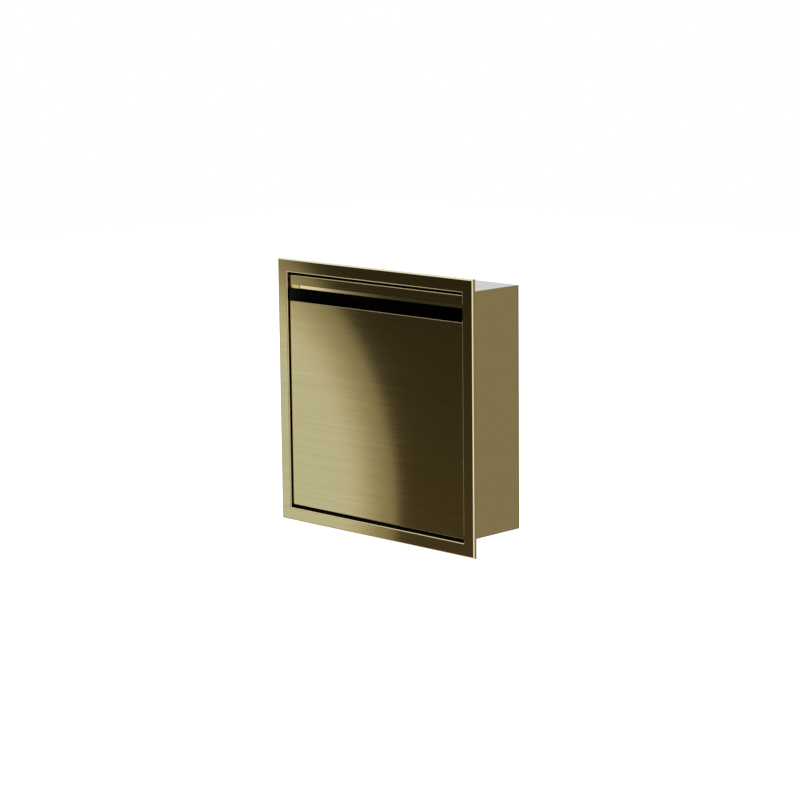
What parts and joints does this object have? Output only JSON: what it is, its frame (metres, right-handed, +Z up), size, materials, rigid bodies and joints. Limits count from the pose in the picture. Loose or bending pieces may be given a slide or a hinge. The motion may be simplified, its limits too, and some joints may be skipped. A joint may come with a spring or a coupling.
{
  "type": "wall mounted mailbox",
  "caption": "Recessed wall letterbox in brushed brass: square flange, lifting letter flap over an open slot, drop-down door and magnetic catches.",
  "frame": {"origin": "centre of the back panel's rear face, the face that meets the back of the wall recess", "axes": "+Y points into the wall, out of the box's rear face; +Z is up; +X is to the right seen from the street"},
  "size_m": [0.32, 0.096, 0.32],
  "materials": {
    "brushed_brass": "horizontally brushed, satin",
    "polished_brass": "fine polished",
    "dark_coating": "matt black powder coat",
    "zinc_steel": "zinc plated",
    "black_rubber": "matt",
    "black_plastic": "satin moulded",
    "nickel_magnet": "nickel plated"
  },
  "bodies": {
    "housing": {"back_panel": "brushed_brass", "catch_body_left": "black_plastic", "catch_body_right": "black_plastic", "catch_magnet_left": "nickel_magnet", "catch_magnet_right": "nickel_magnet", "deflector_rivet_left": "zinc_steel", "deflector_rivet_right": "zinc_steel", "door_buffer_left": "black_rubber", "door_buffer_right": "black_rubber", "flap_bracket": "zinc_steel", "flap_rod": "zinc_steel", "flap_spring": "zinc_steel", "front_flange": "brushed_brass", "hinge_bracket_left": "zinc_steel", "hinge_bracket_right": "zinc_steel", "hinge_pin_left": "zinc_steel", "hinge_pin_right": "zinc_steel", "hinge_rivet_left_1": "zinc_steel", "hinge_rivet_left_2": "zinc_steel", "hinge_rivet_right_1": "zinc_steel", "hinge_rivet_right_2": "zinc_steel", "housing_sleeve": "brushed_brass", "letter_deflector": "dark_coating", "rod_bush": "black_plastic", "spring_block": "polished_brass", "wall_seal": "black_rubber"},
    "door": {"door_pan": "dark_coating", "door_skin": "brushed_brass", "hinge_lug_left": "zinc_steel", "hinge_lug_right": "zinc_steel", "strike_plate_left": "zinc_steel", "strike_plate_right": "zinc_steel"},
    "flap": {"flap_arm_left": "zinc_steel", "flap_arm_right": "zinc_steel", "flap_lip": "polished_brass", "flap_plate": "brushed_brass"}
  },
  "joints": [
    {"name": "door_hinge", "type": "hinge", "parent": "housing", "child": "door", "pos_m": [0, -0.086, -0.1328], "axis": [1, 0, 0], "range_deg": [0, 90]},
    {"name": "flap_hinge", "type": "hinge", "parent": "housing", "child": "flap", "pos_m": [0, -0.0875, 0.136], "axis": [-1, 0, 0], "range_deg": [0, 80], "stiffness_Nm_per_rad": 0.02, "springref_deg": -34.38}
  ]
}
